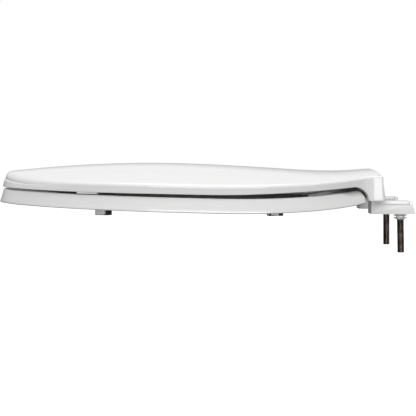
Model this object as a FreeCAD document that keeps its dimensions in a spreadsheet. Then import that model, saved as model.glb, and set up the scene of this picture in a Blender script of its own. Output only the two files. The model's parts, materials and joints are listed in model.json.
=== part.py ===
import FreeCAD, Part
import math
import os

import Sketcher

# Slow-close toilet seat with lid.
# Origin: midway between the two mounting bolts, on the plane that the hinge bases stand on.
# +Z is up, the front tip of the seat points along -Y, and +X is the right side seen from the front.

os.makedirs("parts", exist_ok=True)
doc = FreeCAD.newDocument("toilet_seat")
V = FreeCAD.Vector

# ---------------------------------------------------------------- driving sizes, in mm and degrees
SIZES = (
    # plan of the seat and the lid
    ("bolt_spacing", 140.0, "between the axes of the two mounting bolts"),
    ("seat_reach", 460.0, "from the bolt axes forward to the front tip of the seat"),
    ("seat_half_width", 177.0, "half the width at the widest station, at the height of the tip's foot"),
    ("widest_at", 205.0, "from the bolt axes forward to the widest station"),
    ("rear_half_axis", 212.0, "rear half-axis of the outline, which the rear face cuts off"),
    ("seat_rear", 41.0, "from the bolt axes forward to the rear face of the seat"),
    ("seat_flare", 5.0, "how far the foot of the seat's wall stands outside its top"),
    ("front_rim", 70.0, "width of the ring at the front tip"),
    ("side_rim", 70.0, "width of the ring at its widest station"),
    ("rear_rim", 61.0, "width of the ring at the rear"),
    ("lid_inset", 0.2, "how far the lid's wall starts inside the seat's"),
    ("lid_draft", 4.0, "how far the lid's wall leans in over lid_draft_height"),
    ("lid_draft_height", 60.0, "height over which the lid's wall leans in"),
    # side view of the seat
    ("seat_thickness", 16.0, "thickness of the seat ring"),
    ("tip_height", 11.4, "underside of the seat at its front tip"),
    ("front_height", 8.2, "underside of the seat a fifth of the way back"),
    ("waist_height", 4.2, "lowest underside of the seat"),
    ("haunch_height", 6.2, "underside of the seat where it starts to climb to the hinges"),
    ("rear_height", 13.6, "underside of the seat at its rear face"),
    ("seat_edge_round", 3.5, "radius of the seat's outer top edge"),
    ("knuckle_root", 9.0, "how far the knuckles' arms reach into the seat"),
    ("arm_drop", 2.3, "top of the knuckles' arms below the seat's top at its rear"),
    ("recess_depth", 3.0, "depth of the recess in the seat's underside"),
    ("recess_rim", 6.0, "width of the rim round that recess"),
    # side view of the lid
    ("tip_gap", 1.8, "gap between the seat and the lid's edge at the tip"),
    ("front_gap", 2.6, "the same a fifth of the way back"),
    ("waist_gap", 4.8, "the same at the waist"),
    ("haunch_gap", 6.0, "the same at the haunch"),
    ("rear_gap", 3.2, "the same above the rear face"),
    ("lid_wall", 3.5, "wall of the lid"),
    ("lid_edge_round", 3.0, "radius of the lid's top edge"),
    ("lid_tip_crown", 17.6, "top of the lid above the seat at the tip"),
    ("lid_front_crown", 27.6, "the same where the front slope ends"),
    ("lid_peak_crown", 35.2, "the same at its highest station"),
    ("lid_back_crown", 30.6, "the same where it starts to fall to the saddle"),
    ("lid_saddle_crown", 20.6, "the same in the saddle"),
    ("cowl_crown", 25.5, "top of the cowl above the hinge axis"),
    ("cowl_half_width", 110.0, "half the width of the cowl behind the hinges"),
    ("cowl_back", 8.0, "from the hinge axis back to the foot of the cowl's rear wall"),
    ("cowl_lean", 3.0, "how far the cowl's rear wall leans forward at its top"),
    ("cowl_corner_round", 4.5, "radius of the cowl's rear corners in plan"),
    ("cowl_drop", 8.5, "foot of the cowl below the hinge axis"),
    ("cowl_leg", 9.0, "from the hinge axis forward to the front edge of the cowl's leg"),
    ("leg_bend_drop", 2.2, "drop of the lid's lower edge where it bends down into the leg"),
    # hinge bases and covers
    ("base_width", 36.0, "width of a hinge base"),
    ("base_front", 34.5, "front face of a base, forward of the bolt axis"),
    ("base_rear", 15.0, "foot of a base's rear face, behind the bolt axis"),
    ("base_lean", 4.0, "how far the rear face leans forward over the base's height"),
    ("base_height", 14.5, "height of a base"),
    ("base_bevel", 1.5, "bevel of the base's and cover's top edges"),
    ("cover_front", 19.0, "front edge of a bolt cover, forward of the bolt axis"),
    ("cover_thickness", 4.0, "thickness of a bolt cover"),
    ("cover_gap", 0.3, "gap round a bolt cover"),
    ("cover_pivot", 10.3, "from the bolt axis back to the cover's pin"),
    ("cover_pin_radius", 0.8, "radius of the cover's pin"),
    ("ear_width", 3.0, "width of a lug that holds the cover's pin"),
    # hinge
    ("axis_back", 28.0, "hinge axis, forward of the bolt axes"),
    ("axis_rise", 9.0, "hinge axis above the top of the bases"),
    ("barrel_radius", 6.5, "outer radius of the posts' and knuckles' barrels"),
    ("post_bore", 4.5, "radius of the bore in a post"),
    ("knuckle_bore", 4.2, "radius of the bore in a knuckle"),
    ("knuckle_width", 12.0, "width of a knuckle"),
    ("side_gap", 0.75, "gap between a post and the knuckles beside it"),
    ("running_fit", 0.05, "radial clearance of turning pieces"),
    ("damper_length", 20.0, "length of a damper body"),
    ("damper_wall", 1.0, "wall of a damper body"),
    ("shaft_radius", 2.0, "radius of a damper's shaft"),
    ("pin_radius", 2.9, "radius of a pivot pin's journal"),
    ("pin_root", 14.0, "length of a pivot pin inside the post"),
    # bolts
    ("bolt_radius", 4.0, "radius of a mounting bolt"),
    ("shank_relief", 0.1, "how much thinner the bolt is above its thread"),
    ("bolt_length", 44.0, "bolt below the plane that the bases stand on"),
    ("head_radius", 6.2, "radius of a bolt's head"),
    ("head_height", 4.4, "height of a bolt's head"),
    ("socket_radius", 2.9, "corner radius of the hexagon socket"),
    ("washer_thickness", 1.2, "thickness of a washer"),
    ("floor_thickness", 3.2, "floor of a base under the bolt's head"),
    ("slot_travel", 4.0, "how far a bolt slides each way in its slot"),
    ("slot_clearance", 0.3, "clearance of the bolt and its head in the slot and pocket"),
    ("bushing_length", 6.0, "length of a centring bushing"),
    ("bushing_core", 4.9, "outer radius of a bushing between its barbs"),
    ("barb_radius", 8.0, "radius of a bushing's barbs"),
    ("barb_height", 1.6, "height of a barb"),
    # bumpers
    ("bumper_length", 16.0, "length of a seat bumper with its grip"),
    ("bumper_width", 10.0, "width of a seat bumper"),
    ("grip_thickness", 1.0, "rubber under a seat bumper"),
    ("grip_end", 2.2, "rubber at each end of a seat bumper"),
    ("bumper_floor", 0.4, "foot of the grips above the plane of the bases"),
    ("bumper_sink", 2.0, "how deep a bumper is let into the seat or the lid"),
    ("peg_radius", 2.5, "radius of a bumper's peg"),
    ("peg_length", 4.0, "length of a bumper's peg"),
    ("front_bumper_at", 332.0, "from the bolt axes forward to the front seat bumpers"),
    ("rear_bumper_at", 144.0, "from the bolt axes forward to the rear seat bumpers"),
    ("lid_bumper_at", 347.0, "from the bolt axes forward to the lid bumpers"),
    ("lid_bumper_length", 25.0, "length of a lid bumper"),
    ("lid_bumper_width", 7.0, "width of a lid bumper"),
    ("rest_gap", 0.3, "gap between a lid bumper and the seat, and round a let-in bumper"),
    ("boss_rise", 0.5, "foot of a lid bumper's boss above the lid's lower edge"),
    # construction
    ("overrun", 1.0, "how far a cutter runs past what it cuts, or a joined piece into its neighbour"),
)

sheet = doc.addObject("Spreadsheet::Sheet", "Size")
for row, (name, value, note) in enumerate(SIZES, start=1):
    sheet.set(f"A{row}", name)
    sheet.set(f"B{row}", str(value))
    sheet.set(f"C{row}", note)
    sheet.setAlias(f"B{row}", name)
doc.recompute()


def size(name):
    """A size from the sheet."""
    return float(sheet.get(name))


def evaluate(expression):
    """The present value of an expression on the sheet."""
    value = sheet.evalExpression(expression)
    return float(getattr(value, "Value", value))


# ---------------------------------------------------------------- helpers for bound features
ALONG_X = FreeCAD.Placement(V(), FreeCAD.Rotation(V(0, 1, 0), 90))
AXIS_Y = "-Size.axis_back"
AXIS_Z = "(Size.base_height + Size.axis_rise)"
DECK = "(Size.base_height - Size.cover_thickness - Size.cover_gap)"
PIVOT_Z = "(Size.base_height - Size.cover_thickness / 2)"
SIDES = (("left", -1), ("right", 1))


def bind(feature, **expressions):
    """Bind properties to expressions; x, y and z stand for the placement's position."""
    for name, expression in expressions.items():
        path = f"Placement.Base.{name}" if name in "xyz" else name
        feature.setExpression(path, expression)


def new_body(name, x="0", y="0", z="0"):
    body = doc.addObject("PartDesign::Body", name)
    body.Label = name
    bind(body, x=x, y=y, z=z)
    return body


def block(body, kind, name, length, width, height, x, y, z):
    """An additive or subtractive box; x is its middle, y its front and z its foot."""
    box = body.newObject(f"PartDesign::{kind}Box", name)
    bind(box, Length=length, Width=width, Height=height, x=f"{x} - ({length}) / 2", y=y, z=z)


def rod(body, kind, name, radius, length, x, y, z):
    """An additive or subtractive cylinder along X; x is its middle."""
    cylinder = body.newObject(f"PartDesign::{kind}Cylinder", name)
    cylinder.Placement = ALONG_X
    bind(cylinder, Radius=radius, Height=length, x=f"{x} - ({length}) / 2", y=y, z=z)


def upright(body, kind, name, radius, height, x, y, z):
    """An additive or subtractive cylinder along Z; z is its foot."""
    cylinder = body.newObject(f"PartDesign::{kind}Cylinder", name)
    bind(cylinder, Radius=radius, Height=height, x=x, y=y, z=z)


def outline(body, name, plane, corners):
    """A closed sketch whose corners are bound to pairs of expressions."""
    sketch = body.newObject("Sketcher::SketchObject", name)
    support = [item for item in body.Origin.OriginFeatures if item.Role == plane][0]
    sketch.AttachmentSupport = [(support, "")]
    sketch.MapMode = "FlatFace"
    points = [V(evaluate(across), evaluate(up), 0) for across, up in corners]
    count = len(points)
    for index in range(count):
        sketch.addGeometry(Part.LineSegment(points[index], points[(index + 1) % count]), False)
    for index in range(count):
        sketch.addConstraint(Sketcher.Constraint("Coincident", index, 2, (index + 1) % count, 1))
    for index, (across, up) in enumerate(corners):
        for axis, expression, value in (("X", across, points[index].x), ("Y", up, points[index].y)):
            constraint = Sketcher.Constraint("Distance" + axis, -1, 1, index, 1, value)
            number = sketch.addConstraint(constraint)
            sketch.renameConstraint(number, f"corner{index}{axis}")
            sketch.setExpression(f"Constraints.corner{index}{axis}", expression)
    return sketch


def extrude(body, sketch, length, name="pad"):
    """A pad, half of it on each side of the sketch."""
    pad = body.newObject("PartDesign::Pad", name)
    pad.Profile = sketch
    pad.Midplane = True
    bind(pad, Length=length)


def revolve(body, sketch, axis, name="revolution"):
    """A full turn about H_Axis or V_Axis of the sketch."""
    turned = body.newObject("PartDesign::Revolution", name)
    turned.Profile = sketch
    turned.ReferenceAxis = (sketch, [axis])
    turned.Angle = 360


# ---------------------------------------------------------------- plan and side curves
def egg_half_width(y, inset=0.0):
    """Half the seat's width at a station y, drawn in by inset."""
    forward = y < -size("widest_at")
    reach = size("seat_reach") - size("widest_at") if forward else size("rear_half_axis")
    share = (y + size("widest_at")) / (reach - inset)
    return (size("seat_half_width") - inset) * math.sqrt(max(0.0, 1 - share * share))


def edge_angle(y):
    """Direction of the outline on the +X side at a station y, in degrees from +Y towards +X."""
    step = 1.0
    return math.degrees(math.atan2(egg_half_width(y + step) - egg_half_width(y - step), 2 * step))


def oval_arc(reach, half_width, start, end, z):
    """An arc of an ellipse about the widest station, from start to end degrees."""
    circle = Part.makeCircle(1, V(), V(0, 0, 1), start, end)
    stretch = FreeCAD.Matrix()
    stretch.scale(half_width, reach, 1)
    stretch.move(0, -size("widest_at"), z)
    return circle.transformGeometry(stretch)


def seat_outline(inset, z):
    """The seat's outline, drawn in by inset: two half-ellipses and a straight rear edge."""
    front = size("seat_reach") - size("widest_at") - inset
    rear = size("rear_half_axis") - inset
    half_width = size("seat_half_width") - inset
    rear_y = size("widest_at") - size("seat_rear") - inset
    turn = math.degrees(math.asin(rear_y / rear))
    nose = oval_arc(front, half_width, 180, 360, z)
    right = oval_arc(rear, half_width, 0, turn, z)
    left = oval_arc(rear, half_width, 180 - turn, 180, z)
    back = Part.makeLine(right.Vertexes[-1].Point, left.Vertexes[0].Point)
    return Part.Wire([nose, right, back, left])


def opening_outline(grow, z):
    """The outline of the ring's opening, grown by grow."""
    front = size("seat_reach") - size("widest_at") - size("front_rim") + grow
    rear = size("widest_at") - size("seat_rear") - size("rear_rim") + grow
    half_width = size("seat_half_width") - size("side_rim") + grow
    return Part.Wire([oval_arc(front, half_width, 180, 360, z), oval_arc(rear, half_width, 0, 180, z)])


def tapered(outline_at, low, high, inset_low, inset_high):
    """A solid between the same outline at two heights."""
    return Part.makeLoft([outline_at(inset_low, low), outline_at(inset_high, high)], True, True)


FAR = 300.0  # beyond every side of the seat
HIGH = 90.0  # above every top
LOW = -20.0  # below every foot
NEAR = 0.1  # closer than this, two places count as the same


FRONT_SHARE = 0.78  # the front station of the side curves, as a share of seat_reach
WAIST_SHARE = 0.36  # the waist, as a share of seat_reach
HAUNCH_SHARE = 0.38  # the haunch, as a share of the way from the rear face to the widest station


def stations():
    """Stations of the side curves, from the tip to the rear face."""
    reach = size("seat_reach")
    rear = size("seat_rear")
    haunch = rear + (size("widest_at") - rear) * HAUNCH_SHARE
    return (-reach, -FRONT_SHARE * reach, -WAIST_SHARE * reach, -haunch, -rear)


def seat_heights():
    names = ("tip_height", "front_height", "waist_height", "haunch_height", "rear_height")
    return [size(name) for name in names]


def gap_heights():
    names = ("tip_gap", "front_gap", "waist_gap", "haunch_gap", "rear_gap")
    return [size(name) for name in names]


def side_curve(lift, extra=(0, 0, 0, 0, 0)):
    """A smooth curve in the YZ plane, lift above the seat's underside plus extra at each station."""
    heights = [z + lift + more for z, more in zip(seat_heights(), extra)]
    points = [V(-FAR, y, z) for y, z in zip(stations(), heights)]
    curve = Part.BSplineCurve()
    curve.interpolate(points)
    return curve.toShape()


def curve_height(edge, y):
    """Height of a side curve at a station y."""
    line = Part.makeLine(V(-FAR, y, LOW - HIGH), V(-FAR, y, 2 * HIGH))
    return edge.distToShape(line)[1][0][0].z


def side_slab(edges):
    """Edges in the YZ plane at -FAR, closed and drawn across the whole width."""
    return Part.Face(Part.Wire(Part.sortEdges(edges)[0])).extrude(V(2 * FAR, 0, 0))


def lines(points):
    return [Part.makeLine(a, b) for a, b in zip(points, points[1:])]


def box_between(x_low, x_high, y_low, y_high, z_low, z_high):
    return Part.makeBox(x_high - x_low, y_high - y_low, z_high - z_low, V(x_low, y_low, z_low))


def barrel_shape(radius, x_middle, length):
    """A cylinder about the hinge axis."""
    foot = V(x_middle - length / 2, evaluate(AXIS_Y), evaluate(AXIS_Z))
    return Part.makeCylinder(radius, length, foot, V(1, 0, 0))


def knuckle_middle(outer):
    """X of the knuckles outside or inside the right-hand post."""
    offset = (size("base_width") + size("knuckle_width")) / 2 + size("side_gap")
    return size("bolt_spacing") / 2 + (offset if outer else -offset)


def turned_box(length, width, low, high, x, y, angle):
    """A box centred on (x, y) whose length lies at angle degrees from +Y towards +X."""
    box = Part.makeBox(width, length, high - low, V(-width / 2, -length / 2, low))
    box.rotate(V(), V(0, 0, 1), -angle)
    box.translate(V(x, y, 0))
    return box


# ---------------------------------------------------------------- bumper places
def seat_bumper_place(place, side):
    """X, Y and direction of a seat bumper, in the middle of the ring."""
    y = -size(f"{place}_bumper_at")
    opening = size("side_rim")
    x = egg_half_width(y, opening / 2)
    return side * x, y, side * edge_angle(y)


def lid_bumper_place(side):
    """X, Y and direction of a lid bumper, just inside the lid's outer face."""
    y = -size("lid_bumper_at")
    inset = size("lid_inset") + size("lid_wall") / 2 + size("lid_bumper_width") / 2
    return side * egg_half_width(y, inset), y, side * edge_angle(y)


def bumper_top(y):
    """Top of a seat bumper's pad at a station y."""
    return curve_height(side_curve(0), y) + size("bumper_sink")


def lid_bumper_span(y):
    """Foot and top of a lid bumper at a station y; its foot clears the seat at both ends."""
    seat_top = side_curve(size("seat_thickness"))
    half = size("lid_bumper_length") / 2
    foot = max(curve_height(seat_top, y + end * half) for end in (-1, 1)) + size("rest_gap")
    top = curve_height(side_curve(size("seat_thickness"), gap_heights()), y) + size("bumper_sink")
    return foot, top


PLACES = ("front", "rear")


# ---------------------------------------------------------------- seat ring
def lean(z, total, height):
    """How far a wall has leaned in at height z; it starts at the foot of the seat's tip."""
    return (z - size("tip_height")) * total / height


def seat_ring():
    thickness = size("seat_thickness")
    flare = size("seat_flare")
    tip, rear = -size("seat_reach"), -size("seat_rear")
    nose_z, tail_z = size("tip_height"), size("rear_height")
    edges = [side_curve(0), side_curve(thickness)]
    edges += lines((V(-FAR, tip, nose_z), V(-FAR, tip, nose_z + thickness)))
    edges += lines((V(-FAR, rear, tail_z), V(-FAR, rear, tail_z + thickness)))
    low, high = lean(LOW, flare, thickness), lean(HIGH, flare, thickness)
    ring = tapered(seat_outline, LOW, HIGH, low, high).common(side_slab(edges))
    ring = ring.cut(tapered(opening_outline, LOW, HIGH, -low / 2, -high / 2))
    ring = ring.makeFillet(size("seat_edge_round"), top_edges(ring))
    ring = ring.cut(seat_recess())
    for side in (-1, 1):
        ring = ring.fuse(seat_knuckle(side))
    for side in (-1, 1):
        x = side * knuckle_middle(False)
        ring = ring.cut(barrel_shape(size("knuckle_bore"), x, size("knuckle_width") + 2 * size("overrun")))
        for place in PLACES:
            ring = ring.cut(bumper_pocket(place, side))
    return ring


def top_edges(ring):
    """Every edge of the ring's top, on the outer side and round the opening."""
    over = side_curve(size("seat_thickness"))
    found = []
    for edge in ring.Edges:
        middle = edge.valueAt((edge.FirstParameter + edge.LastParameter) / 2)
        if abs(middle.z - curve_height(over, middle.y)) < NEAR:
            found.append(edge)
    return found


def seat_recess():
    """The shallow recess of the underside, with full-depth islands for the bumpers."""
    wall = size("recess_rim")
    tip, rear = -size("seat_reach"), -size("seat_rear")
    depth = size("recess_depth")
    corners = (
        V(-FAR, tip, size("tip_height") + depth),
        V(-FAR, tip, LOW),
        V(-FAR, rear, LOW),
        V(-FAR, rear, size("rear_height") + depth),
    )
    slab = side_slab([side_curve(depth)] + lines(corners))
    over = size("overrun")
    recess = tapered(seat_outline, LOW - over, HIGH, wall, wall)
    recess = recess.cut(tapered(opening_outline, LOW - 2 * over, HIGH + over, wall, wall))
    recess = recess.common(slab)
    solid_rear = size("seat_rear") + size("knuckle_root") + 2 * wall
    recess = recess.cut(box_between(-FAR, FAR, -solid_rear, 0, LOW, HIGH))
    for side in (-1, 1):
        for place in PLACES:
            x, y, angle = seat_bumper_place(place, side)
            length = size("bumper_length") + 2 * wall
            recess = recess.cut(turned_box(length, size("bumper_width") + 2 * wall, LOW, HIGH, x, y, angle))
    return recess


def seat_knuckle(side):
    """A barrel on the hinge axis and the arm that carries it."""
    x = side * knuckle_middle(False)
    width = size("knuckle_width")
    radius = size("barrel_radius")
    axis_y, axis_z = evaluate(AXIS_Y), evaluate(AXIS_Z)
    root = -size("seat_rear") - size("knuckle_root")
    top = min(axis_z + radius, size("rear_height") + size("seat_thickness") - size("arm_drop"))
    arm = box_between(x - width / 2, x + width / 2, root, axis_y, axis_z - radius, top)
    return arm.fuse(barrel_shape(radius, x, width))


def bumper_pocket(place, side):
    """The recess and the peg hole for a seat bumper."""
    x, y, angle = seat_bumper_place(place, side)
    room = 2 * size("running_fit")
    top = bumper_top(y)
    recess = turned_box(size("bumper_length") + room, size("bumper_width") + room, LOW, top, x, y, angle)
    overlap = size("overrun") / 2
    peg_room = size("peg_length") + 2 * overlap
    peg = Part.makeCylinder(size("peg_radius") + size("running_fit"), peg_room, V(x, y, top - overlap))
    return recess.fuse(peg)


# ---------------------------------------------------------------- lid
def lid_outline(inset, z):
    return seat_outline(inset + size("lid_inset"), z)


def lid_plan(extra, low, high):
    """The lid's plan with its leaning wall, plus the cowl, drawn in by extra."""
    insets = [extra + lean(z, size("lid_draft"), size("lid_draft_height")) for z in (low, high)]
    body = tapered(lid_outline, low, high, *insets)
    half = size("cowl_half_width") - extra
    back = evaluate(AXIS_Y) + size("cowl_back") - extra
    front = -size("seat_rear") - size("knuckle_root") - size("rear_rim") / 2
    foot_z = evaluate(AXIS_Z) - size("cowl_drop")
    top_z = evaluate(AXIS_Z) + size("cowl_crown")
    lean_back = size("cowl_lean") / (top_z - foot_z)
    sections = []
    for z in (low, high):
        y = back - lean_back * (z - foot_z)
        corners = (V(-half, front, z), V(half, front, z), V(half, y, z), V(-half, y, z), V(-half, front, z))
        sections.append(Part.makePolygon(corners))
    cowl = Part.makeLoft(sections, True, True)
    upright_edges = [edge for edge in cowl.Edges if corner_edge(edge, half)]
    radius = size("cowl_corner_round") - extra / 2
    return body.fuse(cowl.makeFillet(radius, upright_edges)).removeSplitter()


def corner_edge(edge, half):
    """Whether an edge is an upright rear corner of the cowl."""
    first, last = (vertex.Point for vertex in edge.Vertexes)
    at_side = abs(abs(first.x) - half) < NEAR and abs(first.x - last.x) < NEAR
    behind_seat = min(first.y, last.y) > -size("seat_rear")
    return at_side and behind_seat and abs(first.z - last.z) > NEAR


# Arcs across the lid's top. Each has its station ahead of the bolts as a share of a size, the crown size
# that it rises from, its rise above that, and its radius.
CROWN_ARCS = (
    ("seat_reach", 1.065, "lid_tip_crown", 0.0, 330.0),
    ("seat_reach", 1.0, "lid_tip_crown", 6.5, 380.0),
    ("seat_reach", 0.87, "lid_front_crown", 3.5, 492.0),
    ("seat_reach", 0.76, "lid_front_crown", 7.0, 590.0),
    ("seat_reach", 0.62, "lid_peak_crown", 0.0, 680.0),
    ("seat_reach", 0.33, "lid_back_crown", 0.0, 890.0),
    ("seat_rear", 2.6, "lid_saddle_crown", 7.0, 1040.0),
    ("seat_rear", 1.8, "lid_saddle_crown", 6.0, 1250.0),
)
# The same over the cowl: station as a share of seat_rear, rise above the cowl's top, and radius.
COWL_ARCS = (
    (0.8, -0.5, 1000.0),
    (0.0, 0.0, 900.0),
)


def crown_sections(drop):
    """Arcs across the lid from beyond its tip to behind its cowl, lowered by drop."""
    seat_top = size("waist_height") + size("seat_thickness")
    cowl_top = evaluate(AXIS_Z) + size("cowl_crown")
    along = []
    for length, share, crown, rise, radius in CROWN_ARCS:
        along.append((-share * size(length), seat_top + size(crown) + rise, radius))
    for share, rise, radius in COWL_ARCS:
        along.append((-share * size("seat_rear"), cowl_top + rise, radius))
    arcs = []
    for y, crown, radius in along:
        sag = radius - math.sqrt(radius * radius - LID_SPAN * LID_SPAN)
        ends = [V(side * LID_SPAN, y, crown - sag - drop) for side in (-1, 1)]
        arcs.append(Part.Wire([Part.Arc(ends[0], V(0, y, crown - drop), ends[1]).toShape()]))
    return arcs


LID_SPAN = 200.0  # the crown's arcs reach this far to each side


def under_crown(drop):
    """Everything below the lid's crowned top, lowered by drop."""
    top = Part.makeLoft(crown_sections(drop), False, False)
    return top.Faces[0].extrude(V(0, 0, -2 * HIGH))


def crown_edges(lid):
    """The edges round the lid's crowned top, which is its largest face that looks up."""
    top = max(lid.Faces, key=lambda face: face.Area * (face.CenterOfMass.z > size("lid_tip_crown")))
    return top.Edges


LEG_BEND_SHARE = 0.72  # where the lower edge bends into the leg, between the seat's rear and the leg


def above_rim():
    """Everything above the lid's lower edge."""
    tip = -size("seat_reach")
    rear = -size("seat_rear")
    leg_front = evaluate(AXIS_Y) - size("cowl_leg")
    foot_z = evaluate(AXIS_Z) - size("cowl_drop")
    rim = side_curve(size("seat_thickness"), gap_heights())
    start = rim.valueAt(rim.FirstParameter)
    finish = rim.valueAt(rim.LastParameter)
    corner = V(-FAR, leg_front, foot_z)
    bulge = V(-FAR, rear + (leg_front - rear) * LEG_BEND_SHARE, finish.z - size("leg_bend_drop"))
    edges = [rim, Part.Arc(finish, bulge, corner).toShape()]
    edges += lines((corner, V(-FAR, FAR, corner.z), V(-FAR, FAR, HIGH), V(-FAR, tip, HIGH), start))
    return side_slab(edges)


def lid_shell():
    wall = size("lid_wall")
    outer = lid_plan(0.0, 0.0, HIGH).common(under_crown(0.0))
    outer = outer.makeFillet(size("lid_edge_round"), crown_edges(outer))
    body = outer.common(above_rim())
    inner = lid_plan(wall, LOW, HIGH + size("overrun")).common(under_crown(wall))
    body = body.cut(inner)
    axis_y, axis_z = evaluate(AXIS_Y), evaluate(AXIS_Z)
    radius, width = size("barrel_radius"), size("knuckle_width")
    notch_side = size("bolt_spacing") / 2 + size("base_width") / 2 + size("side_gap")
    notch_inner = knuckle_middle(False) - width / 2 - 2 * size("side_gap")
    notch_top = axis_z + 2 * radius
    for side in (-1, 1):
        low, high = sorted((side * notch_inner, side * notch_side))
        body = body.cut(box_between(low, high, axis_y, FAR, LOW, notch_top))
    for side in (-1, 1):
        x = side * knuckle_middle(True)
        web = box_between(x - width / 2, x + width / 2, axis_y - radius, axis_y + radius, axis_z, HIGH)
        knuckle = web.fuse(barrel_shape(radius, x, width)).common(outer)
        body = body.fuse(knuckle)
        body = body.cut(barrel_shape(size("knuckle_bore"), x, width + size("overrun")))
        place_x, y, angle = lid_bumper_place(side)
        foot, top = lid_bumper_span(y)
        length, across = size("lid_bumper_length"), size("lid_bumper_width")
        boss_foot = top - size("bumper_sink") + size("boss_rise")
        boss = turned_box(length + 2 * wall, across + wall, boss_foot, top + wall, place_x, y, angle)
        body = body.fuse(boss.common(outer))
        room = 2 * size("running_fit")
        body = body.cut(turned_box(length + room, across + room, LOW, top, place_x, y, angle))
    return body


# ---------------------------------------------------------------- hinge bases, covers and bolts
def side_x(side):
    return f"{side} * Size.bolt_spacing / 2"


def hinge_base(name, side):
    base = new_body(f"hinge_base_{name}", x=side_x(side))
    rear_at_deck = f"Size.base_rear - Size.base_lean * {DECK} / Size.base_height"
    step = "-Size.cover_front - Size.cover_gap"
    profile = outline(base, f"base_profile_{name}", "YZ_Plane", (
        ("-Size.base_front", "0"),
        ("Size.base_rear", "0"),
        (rear_at_deck, DECK),
        (step, DECK),
        (step, "Size.base_height"),
        ("-Size.base_front + Size.base_bevel", "Size.base_height"),
        ("-Size.base_front", "Size.base_height - Size.base_bevel"),
    ))
    extrude(base, profile, "Size.base_width", f"base_pad_{name}")
    block(base, "Additive", f"post_foot_{name}", "Size.base_width", "2 * Size.barrel_radius",
          "Size.axis_rise + Size.base_bevel", "0", f"{AXIS_Y} - Size.barrel_radius",
          "Size.base_height - Size.base_bevel")
    rod(base, "Additive", f"post_barrel_{name}", "Size.barrel_radius", "Size.base_width", "0", AXIS_Y, AXIS_Z)
    for ear in (-1, 1):
        label = f"{name}_{'inner' if ear < 0 else 'outer'}"
        middle = f"{ear} * (Size.base_width - Size.ear_width) / 2"
        rise = "Size.cover_thickness / 2"
        block(base, "Additive", f"ear_foot_{label}", "Size.ear_width", "Size.cover_thickness",
              f"{rise} + 2 * Size.cover_gap", middle, f"Size.cover_pivot - {rise}", f"{DECK} - Size.cover_gap")
        rod(base, "Additive", f"ear_eye_{label}", rise, "Size.ear_width", middle, "Size.cover_pivot", PIVOT_Z)
    through = "Size.base_width + 2 * Size.overrun"
    rod(base, "Subtractive", f"post_bore_{name}", "Size.post_bore", through, "0", AXIS_Y, AXIS_Z)
    rod(base, "Subtractive", f"ear_bore_{name}", "Size.cover_pin_radius + Size.running_fit", through, "0",
        "Size.cover_pivot", PIVOT_Z)
    for kind, shaft, foot, top in (
        ("slot", "Size.bolt_radius", "-Size.overrun", "Size.floor_thickness + Size.overrun"),
        ("pocket", "Size.head_radius", "Size.floor_thickness", f"{DECK} + Size.overrun"),
    ):
        radius = f"({shaft} + Size.slot_clearance)"
        height = f"{top} - ({foot})"
        block(base, "Subtractive", f"{kind}_middle_{name}", f"2 * {radius}", "2 * Size.slot_travel",
              height, "0", "-Size.slot_travel", foot)
        for end in (-1, 1):
            upright(base, "Subtractive", f"{kind}_{'front' if end < 0 else 'rear'}_{name}", radius,
                    height, "0", f"{end} * Size.slot_travel", foot)


def bolt_cover(name, side):
    cover = new_body(f"bolt_cover_{name}", x=side_x(side))
    half, top = "Size.base_width / 2", "Size.base_height"
    foot = "Size.base_height - Size.cover_thickness"
    section = outline(cover, f"cover_section_{name}", "XZ_Plane", (
        (f"-{half}", foot),
        (half, foot),
        (half, f"{top} - Size.base_bevel"),
        (f"{half} - Size.base_bevel", top),
        (f"-{half} + Size.base_bevel", top),
        (f"-{half}", f"{top} - Size.base_bevel"),
    ))
    bind(section, **{"AttachmentOffset.Base.z": "-Size.cover_pivot"})
    pad = cover.newObject("PartDesign::Pad", f"cover_pad_{name}")
    pad.Profile = section
    bind(pad, Length="Size.cover_pivot + Size.cover_front")
    between_ears = "Size.base_width - 2 * (Size.ear_width + Size.cover_gap)"
    for ear in (-1, 1):
        label = f"{name}_{'inner' if ear < 0 else 'outer'}"
        room = "(Size.ear_width + Size.cover_gap)"
        block(cover, "Subtractive", f"ear_notch_{label}", f"{room} + Size.overrun",
              "Size.cover_thickness + Size.cover_gap", "3 * Size.cover_thickness",
              f"{ear} * (Size.base_width - {room} + Size.overrun) / 2",
              "Size.cover_pivot - Size.cover_thickness / 2 - Size.cover_gap", f"{foot} - Size.overrun")
    rod(cover, "Additive", f"cover_knuckle_{name}", "Size.cover_thickness / 2", between_ears, "0",
        "Size.cover_pivot", PIVOT_Z)
    rod(cover, "Subtractive", f"cover_bore_{name}", "Size.cover_pin_radius + Size.running_fit",
        "Size.base_width + 2 * Size.overrun", "0", "Size.cover_pivot", PIVOT_Z)


def cover_pin(name, side):
    pin = new_body(f"cover_pin_{name}", x=side_x(side))
    rod(pin, "Additive", f"cover_pin_rod_{name}", "Size.cover_pin_radius", "Size.base_width - 1", "0",
        "Size.cover_pivot", PIVOT_Z)


HEAD_FOOT = "(Size.floor_thickness + Size.washer_thickness + Size.running_fit)"


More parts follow.
